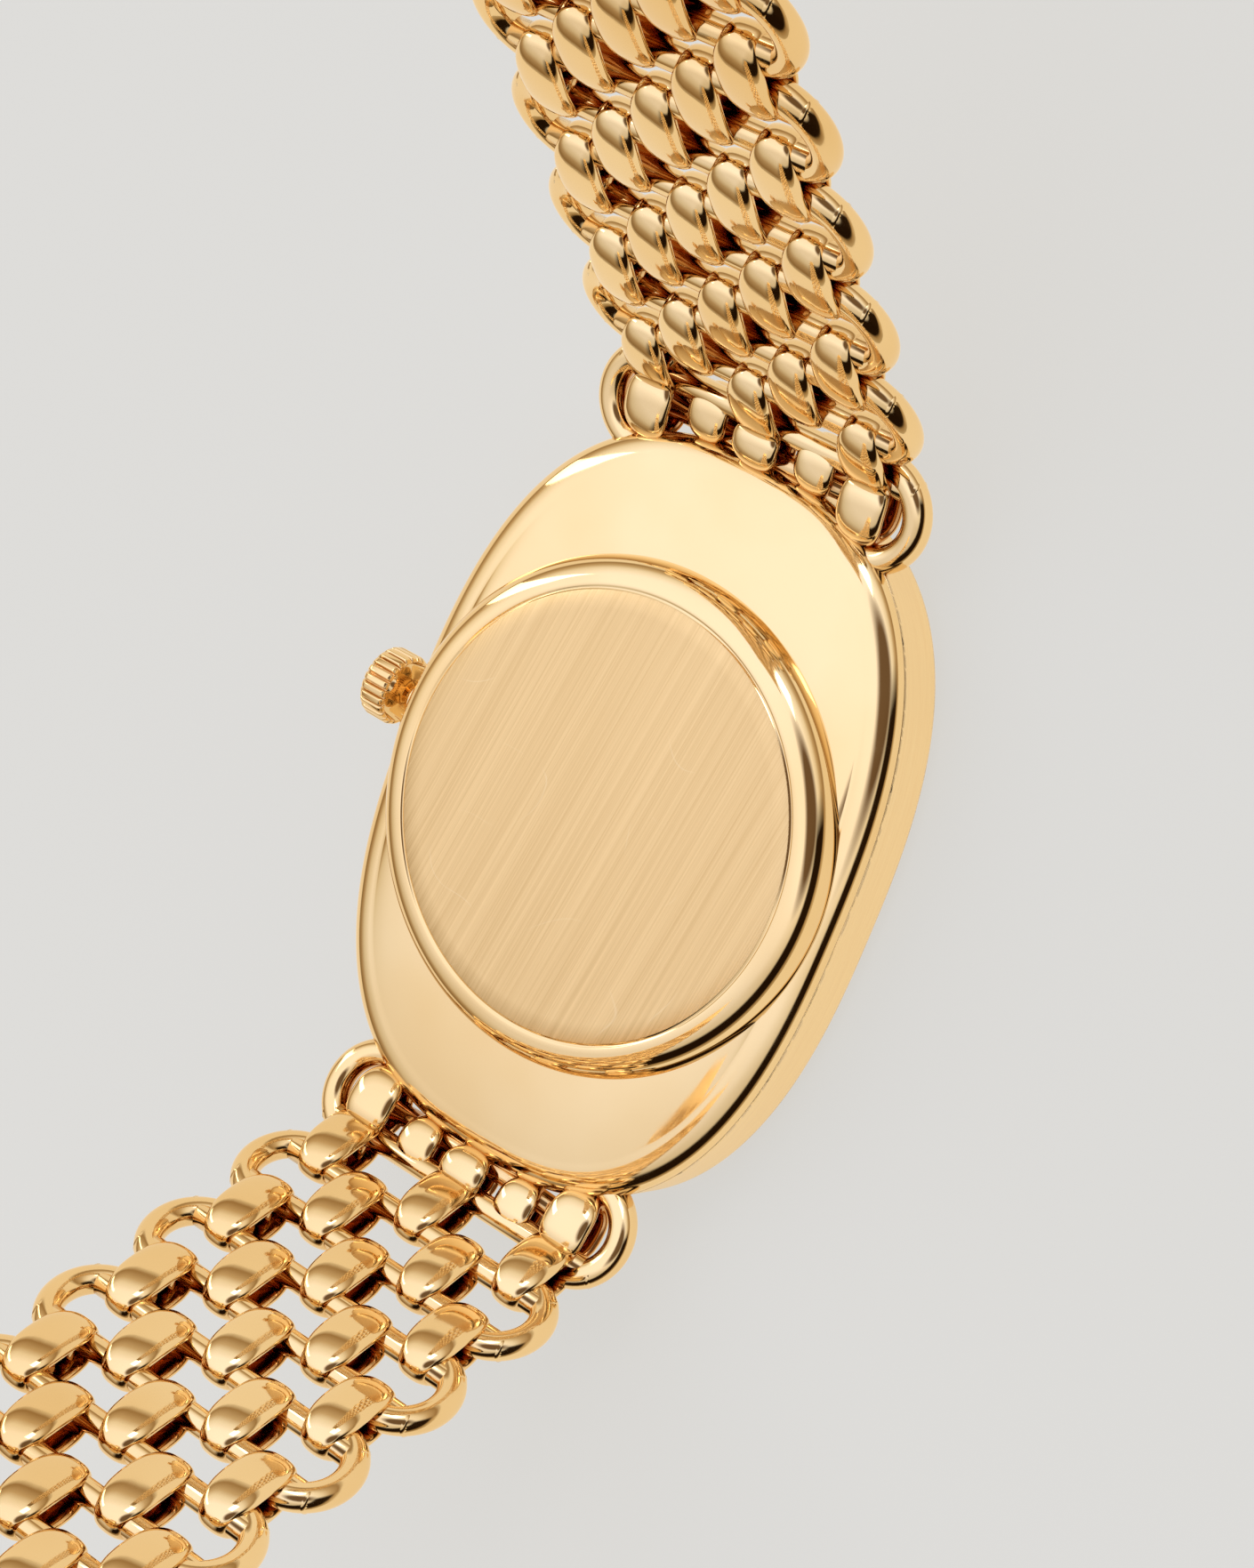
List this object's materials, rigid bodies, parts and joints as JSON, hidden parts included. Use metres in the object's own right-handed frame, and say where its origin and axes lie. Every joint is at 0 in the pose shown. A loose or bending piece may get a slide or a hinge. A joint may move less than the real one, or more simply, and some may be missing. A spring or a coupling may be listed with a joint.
{
  "type": "oval bracelet wristwatch",
  "caption": "Oval wristwatch with a round press-fit back, fluted crown and heavy linked bracelet, lying crystal down with the bracelet halves standing open.",
  "frame": {"origin": "Centre of the crystal's outer face, which is the plane that the watch lies on.", "axes": "+Z out of the case back, +Y along the case towards the upper bracelet half, +X away from the crown."},
  "size_m": [0.0243, 0.0794, 0.0691],
  "materials": {
    "brushed_gold": "brushed yellow gold",
    "polished_gold": "polished yellow gold",
    "link_gold": "polished yellow gold, softly worn",
    "crystal_glass": "clear flat",
    "gasket": "matt black",
    "dial_enamel": "satin cream",
    "movement_steel": "matt plated",
    "screw_steel": "polished",
    "wheel_brass": "gilt"
  },
  "bodies": {
    "case": {"case_middle": "brushed_gold", "bezel": "polished_gold", "crystal_gasket": "gasket", "crystal": "crystal_glass", "dial": "dial_enamel", "hour_markers": "polished_gold", "movement_ring": "movement_steel", "main_plate": "movement_steel", "train_bridge": "movement_steel", "bridge_screws": "screw_steel", "balance_cock": "movement_steel", "case_back": "polished_gold", "back_gasket": "gasket", "crown_tube": "polished_gold", "upper_end_loops": "link_gold", "lower_end_loops": "link_gold"},
    "stem_slider": {"stem_collar": "screw_steel"},
    "crown_set": {"crown": "polished_gold", "winding_stem": "screw_steel"},
    "minute_set": {"centre_wheel": "wheel_brass", "minute_hand": "polished_gold"},
    "hour_set": {"hour_hand": "polished_gold"},
    "barrel_set": {"mainspring_barrel": "wheel_brass", "ratchet_wheel": "screw_steel"},
    "balance": {"balance_wheel": "wheel_brass"},
    "upper_section_01": {"upper_links_01": "link_gold"},
    "upper_section_02": {"upper_links_02": "link_gold"},
    "upper_section_03": {"upper_links_03": "link_gold"},
    "upper_section_04": {"upper_links_04": "link_gold"},
    "upper_section_05": {"upper_links_05": "link_gold"},
    "upper_section_06": {"upper_links_06": "link_gold"},
    "upper_section_07": {"upper_links_07": "link_gold"},
    "upper_section_08": {"upper_links_08": "link_gold"},
    "upper_section_09": {"upper_links_09": "link_gold"},
    "upper_section_10": {"upper_links_10": "link_gold"},
    "clasp_box_end": {"clasp_box": "polished_gold"},
    "lower_section_01": {"lower_links_01": "link_gold"},
    "lower_section_02": {"lower_links_02": "link_gold"},
    "lower_section_03": {"lower_links_03": "link_gold"},
    "lower_section_04": {"lower_links_04": "link_gold"},
    "lower_section_05": {"lower_links_05": "link_gold"},
    "lower_section_06": {"lower_links_06": "link_gold"},
    "lower_section_07": {"lower_links_07": "link_gold"},
    "lower_section_08": {"lower_links_08": "link_gold"},
    "lower_section_09": {"lower_links_09": "link_gold"},
    "lower_section_10": {"lower_links_10": "link_gold"},
    "clasp_tongue_end": {"clasp_tongue": "polished_gold"},
    "catch": {"safety_catch": "polished_gold"}
  },
  "joints": [
    {"name": "crown_pull", "type": "slide", "parent": "case", "child": "stem_slider", "axis": [-1, 0, 0], "range_m": [0, 0.0008]},
    {"name": "crown_turn", "type": "hinge", "parent": "stem_slider", "child": "crown_set", "pos_m": [-0.012, 0, 0.00297], "axis": [-1, 0, 0], "continuous": true},
    {"name": "minute_turn", "type": "hinge", "parent": "case", "child": "minute_set", "pos_m": [0, 0, 0.001], "axis": [0, 0, 1], "continuous": true},
    {"name": "hour_turn", "type": "hinge", "parent": "case", "child": "hour_set", "pos_m": [0, 0, 0.001], "axis": [0, 0, 1], "continuous": true},
    {"name": "barrel_turn", "type": "hinge", "parent": "case", "child": "barrel_set", "pos_m": [0.00156, 0.0048, 0.003], "axis": [0, 0, 1], "continuous": true},
    {"name": "balance_swing", "type": "hinge", "parent": "case", "child": "balance", "pos_m": [0.0026, -0.00479, 0.0036], "axis": [0, 0, 1], "range_deg": [-270, 270]},
    {"name": "upper_link_hinge_01", "type": "hinge", "parent": "case", "child": "upper_section_01", "pos_m": [0, 0.01735, 0.00425], "axis": [1, 0, 0], "range_deg": [-55, 4]},
    {"name": "upper_link_hinge_02", "type": "hinge", "parent": "upper_section_01", "child": "upper_section_02", "pos_m": [0, 0.02056, 0.00884], "axis": [1, 0, 0], "range_deg": [-12, 4]},
    {"name": "upper_link_hinge_03", "type": "hinge", "parent": "upper_section_02", "child": "upper_section_03", "pos_m": [0, 0.02377, 0.01342], "axis": [1, 0, 0], "range_deg": [-12, 4]},
    {"name": "upper_link_hinge_04", "type": "hinge", "parent": "upper_section_03", "child": "upper_section_04", "pos_m": [0, 0.02691, 0.01807], "axis": [1, 0, 0], "range_deg": [-12, 4]},
    {"name": "upper_link_hinge_05", "type": "hinge", "parent": "upper_section_04", "child": "upper_section_05", "pos_m": [0, 0.02996, 0.02276], "axis": [1, 0, 0], "range_deg": [-12, 4]},
    {"name": "upper_link_hinge_06", "type": "hinge", "parent": "upper_section_05", "child": "upper_section_06", "pos_m": [0, 0.03292, 0.02751], "axis": [1, 0, 0], "range_deg": [-12, 4]},
    {"name": "upper_link_hinge_07", "type": "hinge", "parent": "upper_section_06", "child": "upper_section_07", "pos_m": [0, 0.03564, 0.03241], "axis": [1, 0, 0], "range_deg": [-12, 4]},
    {"name": "upper_link_hinge_08", "type": "hinge", "parent": "upper_section_07", "child": "upper_section_08", "pos_m": [0, 0.03792, 0.03753], "axis": [1, 0, 0], "range_deg": [-12, 4]},
    {"name": "upper_link_hinge_09", "type": "hinge", "parent": "upper_section_08", "child": "upper_section_09", "pos_m": [0, 0.03965, 0.04285], "axis": [1, 0, 0], "range_deg": [-12, 4]},
    {"name": "upper_link_hinge_10", "type": "hinge", "parent": "upper_section_09", "child": "upper_section_10", "pos_m": [0, 0.04081, 0.04833], "axis": [1, 0, 0], "range_deg": [-12, 4]},
    {"name": "upper_clasp_hinge", "type": "hinge", "parent": "upper_section_10", "child": "clasp_box_end", "pos_m": [0, 0.0414, 0.0539], "axis": [1, 0, 0], "range_deg": [-12, 4]},
    {"name": "lower_link_hinge_01", "type": "hinge", "parent": "case", "child": "lower_section_01", "pos_m": [0, -0.01735, 0.00425], "axis": [-1, 0, 0], "range_deg": [-61, 4]},
    {"name": "lower_link_hinge_02", "type": "hinge", "parent": "lower_section_01", "child": "lower_section_02", "pos_m": [0, -0.02006, 0.00915], "axis": [-1, 0, 0], "range_deg": [-12, 4]},
    {"name": "lower_link_hinge_03", "type": "hinge", "parent": "lower_section_02", "child": "lower_section_03", "pos_m": [0, -0.02269, 0.01409], "axis": [-1, 0, 0], "range_deg": [-12, 4]},
    {"name": "lower_link_hinge_04", "type": "hinge", "parent": "lower_section_03", "child": "lower_section_04", "pos_m": [0, -0.02524, 0.01908], "axis": [-1, 0, 0], "range_deg": [-12, 4]},
    {"name": "lower_link_hinge_05", "type": "hinge", "parent": "lower_section_04", "child": "lower_section_05", "pos_m": [0, -0.02769, 0.02412], "axis": [-1, 0, 0], "range_deg": [-12, 4]},
    {"name": "lower_link_hinge_06", "type": "hinge", "parent": "lower_section_05", "child": "lower_section_06", "pos_m": [0, -0.03006, 0.02919], "axis": [-1, 0, 0], "range_deg": [-12, 4]},
    {"name": "lower_link_hinge_07", "type": "hinge", "parent": "lower_section_06", "child": "lower_section_07", "pos_m": [0, -0.03216, 0.03438], "axis": [-1, 0, 0], "range_deg": [-12, 4]},
    {"name": "lower_link_hinge_08", "type": "hinge", "parent": "lower_section_07", "child": "lower_section_08", "pos_m": [0, -0.03379, 0.03974], "axis": [-1, 0, 0], "range_deg": [-12, 4]},
    {"name": "lower_link_hinge_09", "type": "hinge", "parent": "lower_section_08", "child": "lower_section_09", "pos_m": [0, -0.03486, 0.04524], "axis": [-1, 0, 0], "range_deg": [-12, 4]},
    {"name": "lower_link_hinge_10", "type": "hinge", "parent": "lower_section_09", "child": "lower_section_10", "pos_m": [0, -0.03535, 0.05081], "axis": [-1, 0, 0], "range_deg": [-12, 4]},
    {"name": "lower_clasp_hinge", "type": "hinge", "parent": "lower_section_10", "child": "clasp_tongue_end", "pos_m": [0, -0.03525, 0.05641], "axis": [-1, 0, 0], "range_deg": [-12, 4]},
    {"name": "safety_catch_swing", "type": "hinge", "parent": "clasp_box_end", "child": "catch", "pos_m": [0.0069, 0.0414, 0.06435], "axis": [1, 0, 0], "range_deg": [0, 150]}
  ],
  "couplings": [
    {"joint": "hour_turn", "follows": "minute_turn", "ratio": 0.083333},
    {"joint": "crown_turn", "follows": "barrel_turn", "ratio": 2}
  ]
}
